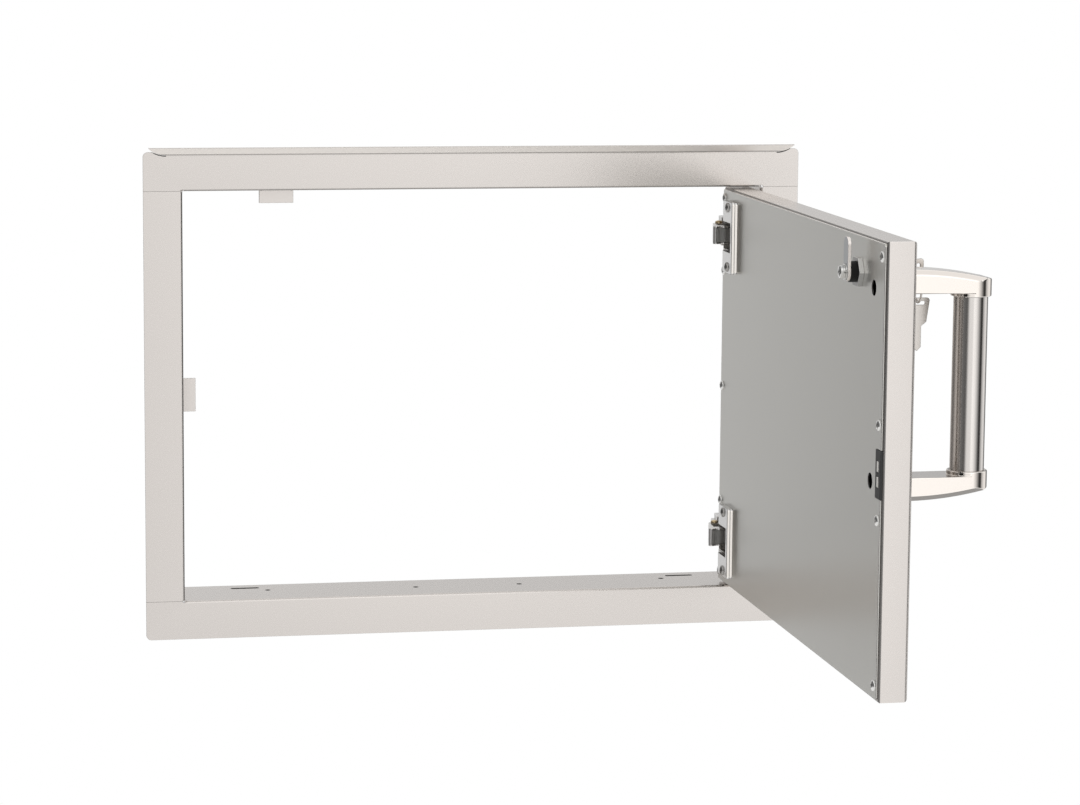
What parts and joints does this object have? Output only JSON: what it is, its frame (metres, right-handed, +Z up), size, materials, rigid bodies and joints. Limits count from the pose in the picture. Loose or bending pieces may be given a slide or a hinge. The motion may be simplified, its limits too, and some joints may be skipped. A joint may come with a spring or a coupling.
{
  "type": "access door",
  "caption": "Stainless access door for an outdoor kitchen island: framed opening, hollow door on concealed hinges, bar handle, cam lock with keys and magnetic catch.",
  "frame": {"origin": "centre of the frame's opening, on the back of the flange, which is the wall plane", "axes": "+X to the right, towards the hinge jamb; +Y into the island; +Z up. The door is stored open at 90 degrees, standing out along -Y"},
  "size_m": [0.6143, 0.5541, 0.4329],
  "materials": {
    "frame_sheet": "brushed stainless sheet, fine straight grain",
    "door_sheet": "brushed stainless sheet, fine upright grain",
    "liner_sheet": "dull rolled stainless sheet",
    "inner_sheet": "plain zinc coated sheet",
    "screw_steel": "bright zinc plated",
    "hinge_steel": "satin nickel plated, bright edges",
    "hinge_insert": "dark grey moulded damper",
    "pin_steel": "ground steel",
    "rivet_brass": "yellow passivated",
    "handle_arms": "polished stainless casting",
    "handle_tube": "brushed round the tube",
    "set_screw": "black oxide",
    "lock_black": "black finished die casting",
    "lock_nickel": "nickel plated",
    "cam_steel": "zinc plated with a warm tint",
    "key_steel": "nickel plated, lightly worn",
    "catch_plastic": "black moulded housing",
    "pole_steel": "bright ground steel",
    "magnet": "ferrite block"
  },
  "bodies": {
    "frame": {"frame_top_rail": "frame_sheet", "frame_bottom_rail": "frame_sheet", "frame_left_stile": "frame_sheet", "frame_right_stile": "frame_sheet", "lock_strike_tab": "frame_sheet", "magnet_strike_tab": "frame_sheet", "upper_hinge_base": "hinge_steel", "upper_hinge_arm": "hinge_steel", "upper_hinge_insert": "hinge_insert", "lower_hinge_base": "hinge_steel", "lower_hinge_arm": "hinge_steel", "lower_hinge_insert": "hinge_insert", "hinge_base_screws": "screw_steel", "hinge_arm_screws": "screw_steel", "hinge_rivets": "rivet_brass"},
    "door": {"door_skin": "door_sheet", "door_liner": "liner_sheet", "door_stiffener": "inner_sheet", "liner_screws": "screw_steel", "upper_hinge_pin": "pin_steel", "upper_hinge_cup": "inner_sheet", "upper_hinge_spacer": "hinge_steel", "upper_hinge_plate": "hinge_steel", "lower_hinge_pin": "pin_steel", "lower_hinge_cup": "inner_sheet", "lower_hinge_spacer": "hinge_steel", "lower_hinge_plate": "hinge_steel", "hinge_plate_screws": "screw_steel", "handle_upper_arm": "handle_arms", "handle_lower_arm": "handle_arms", "handle_tube": "handle_tube", "handle_screws": "screw_steel", "handle_washers": "screw_steel", "handle_set_screws": "set_screw", "lock_body": "lock_black", "lock_nut": "lock_nickel", "catch_housing": "catch_plastic", "catch_poles": "pole_steel", "catch_magnet": "magnet"},
    "lock_plug": {"lock_plug": "lock_nickel", "lock_cam": "cam_steel", "lock_cam_washer": "screw_steel", "lock_spring_washer": "screw_steel", "lock_cam_screw": "screw_steel"},
    "key": {"lock_key": "key_steel"},
    "ring": {"key_ring": "key_steel"},
    "spare": {"spare_key": "key_steel"}
  },
  "joints": [
    {"name": "door_swing", "type": "hinge", "parent": "frame", "child": "door", "pos_m": [0.2439, 0.0089, 0], "axis": [0, 0, 1], "range_deg": [-90, 10]},
    {"name": "lock_turn", "type": "hinge", "parent": "door", "child": "lock_plug", "pos_m": [0.254, -0.421, 0.149], "axis": [1, 0, 0], "range_deg": [0, 90]},
    {"name": "key_slide", "type": "slide", "parent": "lock_plug", "child": "key", "axis": [1, 0, 0], "range_m": [0, 0.024]},
    {"name": "ring_swing", "type": "hinge", "parent": "key", "child": "ring", "pos_m": [0.2758, -0.421, 0.1441], "axis": [0, 1, 0], "range_deg": [-60, 5]},
    {"name": "spare_key_swing", "type": "hinge", "parent": "ring", "child": "spare", "pos_m": [0.2758, -0.421, 0.1241], "axis": [0, 1, 0], "range_deg": [-40, 10]}
  ]
}
